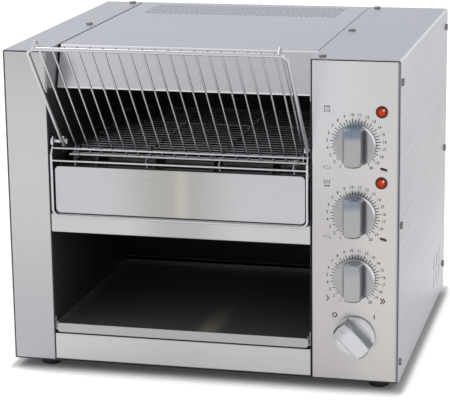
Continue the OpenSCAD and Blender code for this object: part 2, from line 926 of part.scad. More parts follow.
// Angles on the oven walls that carry the ends of the belt's rods
module belt_rails() {
    top = axis_z + belt_r - rod_r - seat;
    reach = belt_w / 2 - rail_under;
    wall = chamber_w / 2 - fit;
    color("gray") at_front() translate([oven_x, 0, 0]) for (m = [0, 1]) mirror([m, 0, 0])
        front_section(idler_y + rail_in, drive_y - idler_y - 2 * rail_in) {
            translate([reach, top - sheet]) square([wall - reach, sheet]);
            translate([wall - sheet, top - rail_h]) square([sheet, rail_h]);
        }
}

// Toothed wheel on the x axis; its gullets hold bars of radius bar_r
module sprocket(x, t, pitch, teeth, bar_r, bore, hub_r, hub_l) {
    r = pitch / (2 * sin(180 / teeth));
    open = 1.6 * pitch - 2 * bar_r;
    difference() {
        union() {
            side_section(x - t / 2, t) difference() {
                circle(r + bar_r / 2);
                for (i = [0 : teeth - 1]) rotate(i * 360 / teeth) translate([r, 0]) {
                    circle(bar_r);
                    polygon([[0, -bar_r], [bar_r * 3, -open / 2], [bar_r * 3, open / 2], [0, bar_r]]);
                }
            }
            rod_x(x - hub_l / 2, 0, 0, hub_r, hub_l);
        }
        rod_x(x - hub_l, 0, 0, bore, 2 * hub_l);
    }
}

module belt_sprockets() {
    hub_r = shaft_r + hub_wall;
    for (x = sprocket_x)
        sprocket(x, sprocket_t, belt_pitch, belt_teeth, rod_r + seat, shaft_r + run, hub_r, hub_l);
}

module idler_shaft() {
    end = chamber_w / 2 + bush_l + shaft_out;
    color("silver") in_loop() rod_x(-end, 0, 0, shaft_r, 2 * end);
}

module idler_sprockets() {
    color("gray") in_loop() belt_sprockets();
}

module drive_shaft() {
    end = chamber_w / 2 + bush_l + shaft_out;
    color("silver") in_loop() rod_x(-end, drive_y - idler_y, 0, shaft_r, end + chain_x - oven_x + shaft_past);
}

module drive_sprockets() {
    color("gray") in_loop() translate([0, drive_y - idler_y, 0]) belt_sprockets();
}

module shaft_bushes() {
    wall = chamber_w / 2;
    color("goldenrod") in_loop() for (y = [0, drive_y - idler_y], s = [-1, 1])
        translate([0, y, 0]) rotate([0, s * 90, 0]) difference() {
            union() {
                translate([0, 0, wall]) cylinder(r = bush_r, h = bush_l);
                translate([0, 0, wall + sheet]) cylinder(r = bush_r + bush_rim, h = bush_flange);
            }
            translate([0, 0, wall - 1]) cylinder(r = shaft_r + run, h = bush_l + 2);
        }
}

module chain_wheel(z) {
    hub_r = shaft_r + chain_hub_wall;
    t = 2 * (chain_in - seat);
    at_front() translate([chain_x, drive_y, z])
        sprocket(0, t, chain_pitch, chain_teeth, roller_r + fit, shaft_r + run, hub_r, chain_hub_l);
}

module driven_sprocket() {
    color("gray") chain_wheel(axis_z);
}

module motor_sprocket() {
    color("gray") chain_wheel(motor_z);
}

module motor_shaft() {
    from = box_x + shaft_in;
    color("silver") at_front() rod_x(from, drive_y, motor_z, shaft_r, chain_x + shaft_past - from);
}

// Roller chain: inner links carry the rollers and outer links carry the pins
module drive_chain() {
    color("dimgray") at_front() translate([chain_x, drive_y, motor_z]) rotate([90, 0, 0])
        for (i = [0 : 2 * chain_span + chain_teeth - 1]) chain_link(i, i % 2 == 0);
}

module chain_link(i, inner) {
    p = loop_point(i, chain_pitch, chain_teeth, chain_span);
    q = loop_point(i + 1, chain_pitch, chain_teeth, chain_span);
    plate_x = chain_in + (inner ? 0 : link_t + link_gap);
    half = plate_x + link_t;
    difference() {
        union() {
            for (x = [-half, plate_x]) side_section(x, link_t) translate(p)
                rotate(atan2(q[1] - p[1], q[0] - p[0])) link_shape(chain_pitch, link_r);
            for (c = [p, q]) rod_x(-half, c[0], c[1], inner ? roller_r : pin_wire, 2 * half);
        }
        if (inner) for (c = [p, q]) rod_x(-half - 1, c[0], c[1], pin_wire + run, 2 * half + 2);
    }
}

module gearbox() {
    low = [drive_y - box_half, box_low];
    high = [drive_y + box_half, motor_z + box_half];
    color("slategray") at_front() difference() {
        union() {
            side_section(box_x, box_w) round_rect(low, high, box_corner);
            rod_x(box_x + box_w - 1, drive_y, motor_z, shaft_r + boss_wall, boss_out + 1);
        }
        rod_x(box_x + shaft_in - fit, drive_y, motor_z, shaft_r + run, box_w);
        motor_bolts() rod_x(-1, 0, 0, bolt_r, box_w + 2);
    }
}

module motor_bolts() {
    in = box_half - bolt_in;
    for (y = [-in, in], z = [-in, in]) translate([box_x, drive_y + y, motor_z + z]) children();
}

module motor_spacers() {
    color("gray") at_front() motor_bolts() difference() {
        rod_x(-spacer_l, 0, 0, spacer_r, spacer_l);
        rod_x(-spacer_l - 1, 0, 0, bolt_r, spacer_l + 2);
    }
}

module motor() {
    body = motor_r - 2;
    cap_z = motor_h - motor_cap;
    color("darkslategray") at_front() translate([motor_x, drive_y, box_low - motor_h]) rotate_extrude()
        polygon([[0, 0], [body - 3, 0], [body, 3], [body, motor_cap], [motor_r, motor_cap],
                 [motor_r, cap_z], [body - 1, cap_z], [body - 1, motor_h], [0, motor_h]]);
}

// Elements that run through both oven walls into their ceramic holders
module elements(y, z) {
    end = sheet + holder_bore - fit;
    rod_x(oven_l - end, y, z, element_r, chamber_w + 2 * end);
}

module upper_elements() {
    color("whitesmoke") at_front() for (y = spread(upper_first, upper_last, upper_count))
        elements(y, base_z + upper_z);
}

module lower_elements() {
    color("whitesmoke") at_front() for (y = spread(lower_first, lower_last, lower_count)) elements(y, axis_z);
}

module element_holders() {
    upper = [for (y = spread(upper_first, upper_last, upper_count)) [y, base_z + upper_z]];
    lower = [for (y = spread(lower_first, lower_last, lower_count)) [y, axis_z]];
    color("ivory") at_front() for (p = concat(upper, lower), s = [-1, 1])
        translate([oven_x, p[0], p[1]]) rotate([0, s * 90, 0]) translate([0, 0, wall_out]) difference() {
            cylinder(r = holder_r, h = holder_l);
            translate([0, 0, -1]) cylinder(r = element_r + fit, h = holder_bore + 1);
        }
}

// Switch body behind the panel, with the neck that its spindle turns in
module control(i) {
    w = control_w[i] / 2;
    h = control_h[i] / 2;
    at_front() translate([panel_x, 0, base_z + knob_z[i]]) difference() {
        union() {
            front_section(sheet, control_deep[i]) round_rect([-w, -h], [w, h], control_corner);
            rod_y(0, -neck_out, 0, neck_r, neck_out + sheet + 1);
        }
        rod_y(0, -neck_out - 1, 0, spindle_d / 2 + run, neck_out + spindle_in + 2);
    }
}

module heat_regulators() {
    color("ivory") for (i = [0, 1]) control(i);
}

module speed_control() {
    color("darkgreen") control(2);
}

module main_switch() {
    color("black") control(3);
}

// Places a child that points along +Z on the panel, at dial number i
module on_panel(i) {
    at_front() translate([panel_x, 0, base_z + knob_z[i]]) rotate([90, 0, 0]) rotate([0, 0, knob_turn[i]])
        children();
}

module knob(i) {
    r = knob_d / 2;
    high = knob_h - knob_gap;
    color("lightslategray") on_panel(i) translate([0, 0, knob_gap]) difference() {
        union() {
            rotate_extrude() polygon([
                [0, 0], [r, 0], [r, skirt_t - skirt_edge], [r - skirt_rim, skirt_t], [0, skirt_t]
            ]);
            grip(r - grip_in, high);
        }
        translate([0, 0, -1]) cylinder(r = neck_r + neck_room, h = neck_out + neck_room);
        cylinder(r = spindle_d / 2 + run, h = high - spindle_cap);
        translate([-mark_w / 2, r - mark_l, high - mark_deep]) cube([mark_w, r, 2]);
    }
}

module grip_side(x, high) {
    translate([x, 0, 0]) cylinder(r1 = grip_round, r2 = grip_round - grip_taper, h = high, $fn = 360);
}

// Grip with faintly round, tapered sides
module grip(r, high) {
    half = grip_w / 2;
    face = half - grip_taper - grip_bevel;
    intersection() {
        grip_side(half - grip_round, high);
        grip_side(grip_round - half, high);
        front_section(-r, 2 * r) polygon([
            [-half, 0], [half, 0], [half, high - 4 * grip_bevel], [face, high], [-face, high],
            [-half, high - 4 * grip_bevel]
        ]);
        rotate_extrude() polygon([
            [0, 0], [r, 0], [r, high - 3 * grip_bevel], [r - 2 * grip_bevel, high], [0, high]
        ]);
    }
}

module spindle(i) {
    color("silver") on_panel(i) translate([0, 0, -spindle_in])
        cylinder(r = spindle_d / 2, h = spindle_in + knob_h - spindle_cap - 1);
}

module upper_heat_knob() {
    knob(0);
}

module lower_heat_knob() {
    knob(1);
}

module speed_knob() {
    knob(2);
}

module switch_knob() {
    knob(3);
}

module upper_heat_spindle() {
    spindle(0);
}

module lower_heat_spindle() {
    spindle(1);
}

module speed_spindle() {
    spindle(2);
}

module switch_spindle() {
    spindle(3);
}

module lamp_bezels() {
    r = lamp_d / 2;
    hole = r - lamp_rim;
    stem = lamp_stem + fit / 2;
    cap = lens_r + run;
    color("black") at_front() lamp_places() rotate([90, 0, 0]) rotate_extrude() polygon([
        [stem, -lamp_back], [hole, -lamp_back], [hole, 0], [r, 0], [r, lamp_proud / 2],
        [r - lamp_ledge, lamp_proud], [cap, lamp_proud], [cap, lamp_ledge], [stem, lamp_ledge]
    ]);
}

module lamp_lenses() {
    ball = (lens_r * lens_r + lens_dome * lens_dome) / (2 * lens_dome);
    color("orangered") at_front() lamp_places() rotate([90, 0, 0]) rotate_extrude() {
        translate([0, -lamp_stem_l]) square([lamp_stem, lamp_stem_l + lamp_proud]);
        translate([0, lamp_ledge]) square([lens_r, lamp_proud - lamp_ledge]);
        intersection() {
            translate([0, lamp_proud + lens_dome - ball]) circle(ball);
            translate([0, lamp_proud]) square([lens_r, lens_dome]);
        }
    }
}

module terminal_block() {
    at = [in_r - block_in[0], body_d - block_in[1], base_z + sheet];
    edge = block_pitch / 2;
    color("ivory") at_front() translate(at) difference() {
        cube(block);
        for (x = [edge : block_pitch : block[0] - edge], y = [edge : block_pitch : block[1] - edge])
            translate([x, y, block[2] - block_hole_l]) cylinder(r = block_hole_r, h = block_hole_l + 1);
    }
}

module gland_place() {
    translate([gland_x, body_d, gland_z]) children();
}

module cord_gland() {
    body = gland_r + gland_wall;
    tip = gland_out - gland_tip;
    color("black") at_front() gland_place() rotate([-90, 0, 0]) difference() {
        union() {
            cylinder(r = gland_r + gland_hex, h = gland_hex, $fn = 6);
            translate([0, 0, gland_hex - 1]) cylinder(r = body, h = tip - gland_hex + 1);
            translate([0, 0, tip]) cylinder(r1 = body, r2 = gland_r, h = gland_tip);
            translate([0, 0, -gland_in]) cylinder(r = gland_r, h = gland_in + 1);
            translate([0, 0, -sheet - gland_nut]) cylinder(r = gland_r + gland_nut, h = gland_nut, $fn = 6);
        }
        translate([0, 0, -gland_in - 1]) cylinder(r = cord_r, h = gland_in + gland_out + 2);
    }
}

module feet() {
    r = foot_d / 2;
    low = r - foot_taper;
    back = body_d - foot_in_y;
    color("black") at_front() for (x = [x_l + foot_in_l, x_r - foot_in_r], y = [foot_in_y, back])
        translate([x, y, 0]) rotate_extrude()
            polygon([[0, 0], [low - foot_edge, 0], [low, foot_edge], [r, foot_h], [0, foot_h]]);
}

module top_screws() {
    color("silver") at_front() top_screw_places() screw();
}

module side_screws() {
    color("silver") at_front() side_screw_places() screw();
}

module back_screws() {
    color("silver") at_front() back_screw_places() screw();
}

base_pan();
left_oven_wall();
right_oven_wall();
left_cover();
right_cover();
left_facia();
control_panel();
top_panel();
back_panel();
lintel();
apron();
inner_panel();
belt_shield();
return_chute();
upper_reflector();
landing_tray();
tray_runners();
rack_frame();
rack_guard();
rack_fingers();
rack_guides();
rack_pins();
conveyor_belt();
belt_rails();
drive_shaft();
drive_sprockets();
idler_shaft();
idler_sprockets();
shaft_bushes();
driven_sprocket();
drive_chain();
motor_sprocket();
motor_shaft();
gearbox();
motor();
motor_spacers();
upper_elements();
lower_elements();
element_holders();
heat_regulators();
speed_control();
main_switch();
upper_heat_knob();
lower_heat_knob();
speed_knob();
switch_knob();
upper_heat_spindle();
lower_heat_spindle();
speed_spindle();
switch_spindle();
lamp_bezels();
lamp_lenses();
terminal_block();
cord_gland();
feet();
top_screws();
side_screws();
back_screws();
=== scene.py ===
import math

import bmesh
import bpy
from mathutils import Matrix, Vector


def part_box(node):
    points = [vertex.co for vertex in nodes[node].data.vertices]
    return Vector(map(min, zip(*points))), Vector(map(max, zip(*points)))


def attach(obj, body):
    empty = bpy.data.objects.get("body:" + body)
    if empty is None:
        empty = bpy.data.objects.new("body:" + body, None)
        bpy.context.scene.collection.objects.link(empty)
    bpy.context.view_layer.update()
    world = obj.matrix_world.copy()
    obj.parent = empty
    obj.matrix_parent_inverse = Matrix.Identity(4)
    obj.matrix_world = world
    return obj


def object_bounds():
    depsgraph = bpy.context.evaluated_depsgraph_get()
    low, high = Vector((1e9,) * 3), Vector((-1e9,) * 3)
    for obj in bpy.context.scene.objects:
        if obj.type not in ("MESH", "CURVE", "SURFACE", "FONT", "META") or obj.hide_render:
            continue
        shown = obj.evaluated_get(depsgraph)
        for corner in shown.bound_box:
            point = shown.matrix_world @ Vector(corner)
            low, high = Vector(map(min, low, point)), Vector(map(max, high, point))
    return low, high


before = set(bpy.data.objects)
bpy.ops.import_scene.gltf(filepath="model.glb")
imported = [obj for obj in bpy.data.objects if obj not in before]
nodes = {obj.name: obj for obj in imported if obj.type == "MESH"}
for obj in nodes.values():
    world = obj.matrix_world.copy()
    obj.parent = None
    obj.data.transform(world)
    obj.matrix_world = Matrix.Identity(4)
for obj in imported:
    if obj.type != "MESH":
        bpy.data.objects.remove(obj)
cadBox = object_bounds()
scene = bpy.context.scene
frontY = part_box("control_panel")[0].y  # the plane of the front panels
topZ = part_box("top_panel")[1].z  # the top sheet's upper face
slant = math.sqrt(0.5)  # sine and cosine of 45 degrees


def middle(node):
    low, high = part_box(node)
    return (low + high) / 2


# shader helpers, whose values are numbers, tuples or the outputs of other nodes

def feed(tree, value, socket):
    if isinstance(value, bpy.types.NodeSocket):
        tree.links.new(value, socket)
    elif socket.type == "RGBA":
        socket.default_value = (*value, 1.0)[:4]
    else:
        socket.default_value = value


def makeGroup(name, inputs, outputs):
    tree = bpy.data.node_groups.new(name, "ShaderNodeTree")
    for label, kind, value in inputs:
        socket = tree.interface.new_socket(label, in_out="INPUT", socket_type="NodeSocket" + kind)
        socket.default_value = value
    for label, kind in outputs:
        tree.interface.new_socket(label, in_out="OUTPUT", socket_type="NodeSocket" + kind)
    return tree, tree.nodes.new("NodeGroupInput").outputs, tree.nodes.new("NodeGroupOutput").inputs


def useGroup(tree, group, values):
    node = tree.nodes.new("ShaderNodeGroup")
    node.node_tree = group
    for label, value in values.items():
        feed(tree, value, node.inputs[label])
    return node.outputs


def objectPlace(tree):
    return tree.nodes.new("ShaderNodeTexCoord").outputs["Object"]


def splitPlace(tree):
    split = tree.nodes.new("ShaderNodeSeparateXYZ")
    feed(tree, objectPlace(tree), split.inputs[0])
    return split.outputs


def addNoise(tree, place, scale, detail=2.0, rough=0.5):
    noise = tree.nodes.new("ShaderNodeTexNoise")
    for label, value in (("Vector", place), ("Scale", scale), ("Detail", detail), ("Roughness", rough)):
        feed(tree, value, noise.inputs[label])
    return noise.outputs["Fac"]


def addMath(tree, kind, *values, clamp=False):
    node = tree.nodes.new("ShaderNodeMath")
    node.operation = kind
    node.use_clamp = clamp
    for value, socket in zip(values, node.inputs):
        feed(tree, value, socket)
    return node.outputs[0]


def addRange(tree, value, low=0.0, high=1.0, toLow=0.0, toHigh=1.0, kind="LINEAR"):
    node = tree.nodes.new("ShaderNodeMapRange")
    node.interpolation_type = kind
    for item, socket in zip((value, low, high, toLow, toHigh), node.inputs):
        feed(tree, item, socket)
    return node.outputs[0]


def addMix(tree, factor, first, second, kind="RGBA"):
    node = tree.nodes.new("ShaderNodeMix")
    node.data_type = kind
    start, result = {"FLOAT": (2, 0), "RGBA": (6, 2)}[kind]  # where this kind's sockets and output are
    for value, spot in ((factor, 0), (first, start), (second, start + 1)):
        feed(tree, value, node.inputs[spot])
    return node.outputs[result]


def addReach(tree, a, b, clamp=False):  # how far a point lies from where a and b are both 0
    squares = [addMath(tree, "MULTIPLY", side, side) for side in (a, b)]
    return addMath(tree, "SQRT", addMath(tree, "ADD", *squares), clamp=clamp)


def swing(tree, noise, amount):  # noise about 0.5 becomes a change of up to half the amount each way
    return addMath(tree, "MULTIPLY", addMath(tree, "SUBTRACT", noise, 0.5), amount)


def shade(tree, color, value):
    node = tree.nodes.new("ShaderNodeHueSaturation")
    feed(tree, color, node.inputs["Color"])
    feed(tree, value, node.inputs["Value"])
    return node.outputs[0]


# effects that several materials share

brushedLook = {"lineDetail": 3.0, "lineRough": 0.6, "cloudSize": 7.0, "glossSpread": 0.25}


def buildBrushed():
    tree, given, made = makeGroup(
        "brushedSteel",
        [("Color", "Color", (0.6, 0.6, 0.6, 1)), ("Stretch", "Vector", (4, 900, 900)),
         ("Contrast", "Float", 0.06), ("Roughness", "Float", 0.3), ("Clouds", "Float", 0.03)],
        [("Color", "Color"), ("Roughness", "Float"), ("Height", "Float")])
    look = brushedLook
    place = objectPlace(tree)
    mapping = tree.nodes.new("ShaderNodeMapping")
    feed(tree, place, mapping.inputs["Vector"])
    feed(tree, given["Stretch"], mapping.inputs["Scale"])
    lines = addNoise(tree, mapping.outputs[0], 1.0, look["lineDetail"], look["lineRough"])
    wide = swing(tree, addNoise(tree, place, look["cloudSize"]), given["Clouds"])
    value = addMath(tree, "ADD", swing(tree, lines, given["Contrast"]), wide)
    feed(tree, shade(tree, given["Color"], addMath(tree, "ADD", value, 1.0)), made["Color"])
    rough = addMath(tree, "ADD", given["Roughness"], swing(tree, lines, look["glossSpread"]))
    feed(tree, addMath(tree, "ADD", rough, wide, clamp=True), made["Roughness"])
    feed(tree, lines, made["Height"])
    return tree


patchyDarkLook = {"patch": (0.42, 0.68), "patchDetail": 6.0, "gritSize": 420.0, "gritDetail": 3.0, "gritRough": 0.6,
            "glossSpread": 0.3}


# a dark finish with patches of a second, burnt tone
def buildPatchyDark():
    tree, given, made = makeGroup(
        "patchyDarkSheet",
        [("Color", "Color", (0.02, 0.02, 0.02, 1)), ("Burnt", "Color", (0.05, 0.035, 0.025, 1)),
         ("Size", "Float", 14.0), ("Roughness", "Float", 0.5)],
        [("Color", "Color"), ("Roughness", "Float"), ("Height", "Float")])
    look = patchyDarkLook
    place = objectPlace(tree)
    mask = addRange(tree, addNoise(tree, place, given["Size"], look["patchDetail"]), *look["patch"])
    grit = addNoise(tree, place, look["gritSize"], look["gritDetail"], look["gritRough"])
    rough = addMath(tree, "ADD", given["Roughness"], swing(tree, grit, look["glossSpread"]), clamp=True)
    feed(tree, addMix(tree, mask, given["Color"], given["Burnt"]), made["Color"])
    feed(tree, rough, made["Roughness"])
    feed(tree, grit, made["Height"])
    return tree


grainLook = {"cloudSize": 30.0, "cloudDepth": 0.06, "glossSpread": 0.15}


def buildGrain():
    tree, given, made = makeGroup(
        "mouldedGrain",
        [("Color", "Color", (0.4, 0.4, 0.4, 1)), ("Grain", "Float", 1800.0), ("Depth", "Float", 0.05),
         ("Roughness", "Float", 0.4)],
        [("Color", "Color"), ("Roughness", "Float"), ("Height", "Float")])
    look = grainLook
    place = objectPlace(tree)
    fine = addNoise(tree, place, given["Grain"])
    broad = addNoise(tree, place, look["cloudSize"])
    value = addMath(tree, "ADD", swing(tree, fine, given["Depth"]), 1.0)
    value = addMath(tree, "ADD", value, swing(tree, broad, look["cloudDepth"]))
    rough = addMath(tree, "ADD", given["Roughness"], swing(tree, broad, look["glossSpread"]), clamp=True)
    feed(tree, shade(tree, given["Color"], value), made["Color"])
    feed(tree, rough, made["Roughness"])
    feed(tree, fine, made["Height"])
    return tree


heatLook = {"patch": (0.35, 0.65), "patchDetail": 3.0, "fineSize": 300.0, "glossSpread": 0.3}


def buildHeatTint():
    tree, given, made = makeGroup(
        "heatTint",
        [("Color", "Color", (0.3, 0.3, 0.3, 1)), ("Tint", "Color", (0.25, 0.15, 0.08, 1)),
         ("Size", "Float", 25.0), ("Amount", "Float", 0.7), ("Roughness", "Float", 0.35)],
        [("Color", "Color"), ("Roughness", "Float")])
    look = heatLook
    place = objectPlace(tree)
    patch = addRange(tree, addNoise(tree, place, given["Size"], look["patchDetail"]), *look["patch"])
    mask = addMath(tree, "MULTIPLY", patch, given["Amount"])
    fine = addNoise(tree, place, look["fineSize"])
    rough = addMath(tree, "ADD", given["Roughness"], swing(tree, fine, look["glossSpread"]), clamp=True)
    feed(tree, addMix(tree, mask, given["Color"], given["Tint"]), made["Color"])
    feed(tree, rough, made["Roughness"])
    return tree


def buildBand():
    tree, given, made = makeGroup(
        "softBand",
        [("Color", "Color", (0.5, 0.5, 0.5, 1)), ("Tint", "Color", (0.6, 0.6, 0.6, 1)),
         ("Direction", "Vector", (1, 0, 0)), ("Center", "Float", 0.0), ("Width", "Float", 0.05),
         ("Amount", "Float", 0.5)],
        [("Color", "Color")])
    along = tree.nodes.new("ShaderNodeVectorMath")
    along.operation = "DOT_PRODUCT"
    feed(tree, objectPlace(tree), along.inputs[0])
    feed(tree, given["Direction"], along.inputs[1])
    gap = addMath(tree, "ABSOLUTE", addMath(tree, "SUBTRACT", along.outputs["Value"], given["Center"]))
    mask = addRange(tree, gap, 0.0, given["Width"], given["Amount"], 0.0, "SMOOTHERSTEP")
    feed(tree, addMix(tree, mask, given["Color"], given["Tint"]), made["Color"])
    return tree


brushed = buildBrushed()
patchyDark = buildPatchyDark()
grain = buildGrain()
heatTint = buildHeatTint()
band = buildBand()
print("effects built")


# kinds of finish, each made of one effect and any bands of another tone

def startMaterial(name):
    mat = bpy.data.materials.new(name)
    mat.use_nodes = True
    return mat, mat.node_tree, mat.node_tree.nodes["Principled BSDF"].inputs


def addBands(tree, color, bands):
    for values in bands:
        color = useGroup(tree, band, {**values, "Color": color})["Color"]
    return color


def setShader(tree, shader, color, rough, plain, height=None, bump=0.0):  # plain holds the other sockets
    for label, value in {"Base Color": color, "Roughness": rough, **plain}.items():
        feed(tree, value, shader[label])
    if height is not None:
        node = tree.nodes.new("ShaderNodeBump")
        feed(tree, bump, node.inputs["Distance"])
        feed(tree, height, node.inputs["Height"])
        feed(tree, node.outputs[0], shader["Normal"])


def plainMaterial(name, group, values, bands, plain, bump=0.0):
    mat, tree, shader = startMaterial(name)
    made = useGroup(tree, group, values)
    height = made["Height"] if bump else None
    setShader(tree, shader, addBands(tree, made["Color"], bands), made["Roughness"], plain, height, bump)
    return mat


brushX = (5, 700, 1100)  # sheets brushed from side to side
brushY = (900, 5, 900)  # sheets brushed from front to back


def steelMaterial(name, color, stretch=brushX, contrast=0.10, roughness=0.30, clouds=0.05,
                  bump=0.000004, metallic=1.0, bands=()):
    values = {"Color": color, "Stretch": stretch, "Contrast": contrast, "Roughness": roughness,
              "Clouds": clouds}
    return plainMaterial(name, brushed, values, bands, {"Metallic": metallic}, bump)


def plasticMaterial(name, color, roughness=0.4, grainSize=1800.0, depth=0.05, metallic=0.0, coat=0.0,
                    bump=0.00001, bands=()):
    values = {"Color": color, "Grain": grainSize, "Depth": depth, "Roughness": roughness}
    return plainMaterial(name, grain, values, bands, {"Metallic": metallic, "Coat Weight": coat}, bump)


def paintMaterial(name, color, burnt, size, roughness, bump=0.00003):
    values = {"Color": color, "Burnt": burnt, "Size": size, "Roughness": roughness}
    return plainMaterial(name, patchyDark, values, (), {"Metallic": 0.0}, bump)


def wireMaterial(name, color, tint, size, amount, roughness, metallic=1.0, bands=()):
    values = {"Color": color, "Tint": tint, "Size": size, "Amount": amount, "Roughness": roughness}
    return plainMaterial(name, heatTint, values, bands, {"Metallic": metallic})


def softTone(tint, way, center, width, amount=1.0):  # a soft band that crosses the given way
    return {"Tint": tint, "Direction": way, "Center": center, "Width": width, "Amount": amount}


# finishes of the CAD pieces

wayX, wayY, wayZ = (1, 0, 0), (0, 1, 0), (0, 0, 1)
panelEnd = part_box("control_panel")[1].x
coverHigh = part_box("right_cover")[1]
bendReach = (coverHigh.x + topZ) * slant - 0.0008  # just inside a cover's bend, along its 45 degree line, where the painted highlight lies
trayLow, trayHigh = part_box("landing_tray")
# the tray's steel is drawn dark, a painted shade of the dark oven around it
trayColor = (0.22, 0.22, 0.235)
switchAt = middle("switch_knob")
switchRise = (switchAt.x + switchAt.z) * slant  # the switch's middle along each diagonal
switchFall = (switchAt.x - switchAt.z) * slant

steelLooks = {
    "facia": {
        "color": (0.355, 0.357, 0.372), "clouds": 0.06,
        # painted sheen: the facia is lighter about its middle height
        "bands": [softTone((0.45, 0.45, 0.45), wayZ, center=0.27, width=0.25)]},
    "lintel": {
        "color": (0.45, 0.445, 0.44), "clouds": 0.06,
        # painted reflection: a darker band across the lintel
        "bands": [softTone((0.36, 0.35, 0.345), wayX, center=-0.022, width=0.080)]},
    "apron": {
        "color": (0.455, 0.455, 0.468), "clouds": 0.06,
        # painted reflection: a darker band across the apron
        "bands": [softTone((0.44, 0.435, 0.44), wayX, center=-0.030, width=0.080)]},
    "controlPanel": {
        "color": (0.42, 0.402, 0.405), "contrast": 0.08, "clouds": 0.06,
        "bands": [
            # painted light: the top is lighter and bluer, a warm painted sheen lies near the right end, and
            # painted shade darkens the right edge by the gap to the cover
            softTone((0.53, 0.53, 0.555), wayZ, center=0.40, width=0.26),
            softTone((0.50, 0.485, 0.47), wayX, center=panelEnd - 0.016, width=0.065, amount=0.75),
            softTone((0.10, 0.11, 0.15), wayX, center=panelEnd, width=0.0045, amount=0.85)]},
    "cover": {
        "color": (0.343, 0.344, 0.378), "stretch": brushY, "contrast": 0.028, "roughness": 0.34,
        "clouds": 0.03, "bump": 0.000002,
        "bands": [
            # painted light: painted shade across the middle height, a bluer painted reflection along the top
            # edge and a painted highlight along each 45 degree bend
            softTone((0.260, 0.257, 0.282), wayZ, center=0.22, width=0.20),
            softTone((0.336, 0.345, 0.400), wayZ, center=coverHigh.z, width=0.002),
            *[softTone((0.66, 0.68, 0.74), (side * slant, 0, slant), center=bendReach, width=0.0012,
                       amount=0.9) for side in (-1, 1)]]},
    "innerSheet": {
        "color": (0.425, 0.427, 0.445), "roughness": 0.28,
        "bands": [
            # painted reflection: a broad darker warm band, and in it a narrow warm painted highlight
            softTone((0.335, 0.325, 0.312), wayX, center=-0.030, width=0.100),
            softTone((0.45, 0.425, 0.385), wayX, center=-0.021, width=0.014, amount=0.5)]},
    "traySheet": {
        "color": trayColor, "roughness": 0.36, "metallic": 0.6,
        "bands": [
            # a warm painted glare across the tray's middle; the two bands after it hold it to the front part,
            # then the tray is darker along its back edge and lighter along its front lip
            softTone((0.64, 0.58, 0.48), wayX, center=0.002, width=0.021, amount=0.9),
            softTone(trayColor, wayY, center=trayLow.y + 0.16, width=0.145),
            softTone(trayColor, wayY, center=trayLow.y + 0.26, width=0.145),
            softTone((0.07, 0.07, 0.08), wayY, center=trayHigh.y, width=0.004),
            softTone((0.41, 0.41, 0.415), wayY, center=trayLow.y, width=0.004)]},
    "plated": {
        "color": (0.35, 0.35, 0.35), "stretch": (300, 300, 300), "contrast": 0.2, "roughness": 0.4,
        "clouds": 0.2},
    "rackWire": {
        "color": (0.47, 0.475, 0.50), "stretch": (200, 200, 200), "contrast": 0.08, "roughness": 0.18},
    "pin": {"color": (0.5, 0.5, 0.5), "stretch": (500, 500, 500), "roughness": 0.25},
    "shaft": {"color": (0.3, 0.3, 0.3), "stretch": (4, 900, 900), "contrast": 0.2, "clouds": 0.1},
    # the idler shaft is the shaft steel drawn far darker
    "idler": {"color": (0.07, 0.07, 0.075), "stretch": (4, 900, 900), "contrast": 0.2, "clouds": 0.1},
    "screw": {
        "color": (0.22, 0.22, 0.22), "stretch": (300, 300, 300), "contrast": 0.25, "roughness": 0.32,
        "clouds": 0.1},
}

paintLooks = {
    # the upper reflector's steel, drawn dark and mostly matte
    "sootSteel": {
        "color": (0.10, 0.10, 0.115), "burnt": (0.075, 0.073, 0.08), "size": 10.0, "roughness": 0.7},
    "blackSheet": {
        "color": (0.042, 0.043, 0.048), "burnt": (0.05, 0.049, 0.051), "size": 12.0, "roughness": 0.75},
}

wireLooks = {
    "beltWire": {
        "color": (0.32, 0.32, 0.34), "tint": (0.08, 0.078, 0.08), "size": 30.0, "amount": 0.6,
        "roughness": 0.2,
        # painted shade: the belt grows darker deeper inside the oven
        "bands": [softTone((0.025, 0.025, 0.03), wayY, center=0.15, width=0.20, amount=0.8)]},
    "sprocket": {
        "color": (0.05, 0.05, 0.05), "tint": (0.03, 0.028, 0.026), "size": 40.0, "amount": 0.6,
        "roughness": 0.4},
    "chain": {
        "color": (0.22, 0.22, 0.22), "tint": (0.08, 0.06, 0.045), "size": 80.0, "amount": 0.6,
        "roughness": 0.35},
    "bronze": {
        "color": (0.62, 0.42, 0.18), "tint": (0.4, 0.25, 0.1), "size": 60.0, "amount": 0.6,
        "roughness": 0.35},
    "quartz": {
        "color": (0.10, 0.098, 0.095), "tint": (0.05, 0.048, 0.045), "size": 20.0, "amount": 0.5,
        "roughness": 0.3, "metallic": 0.0},
}

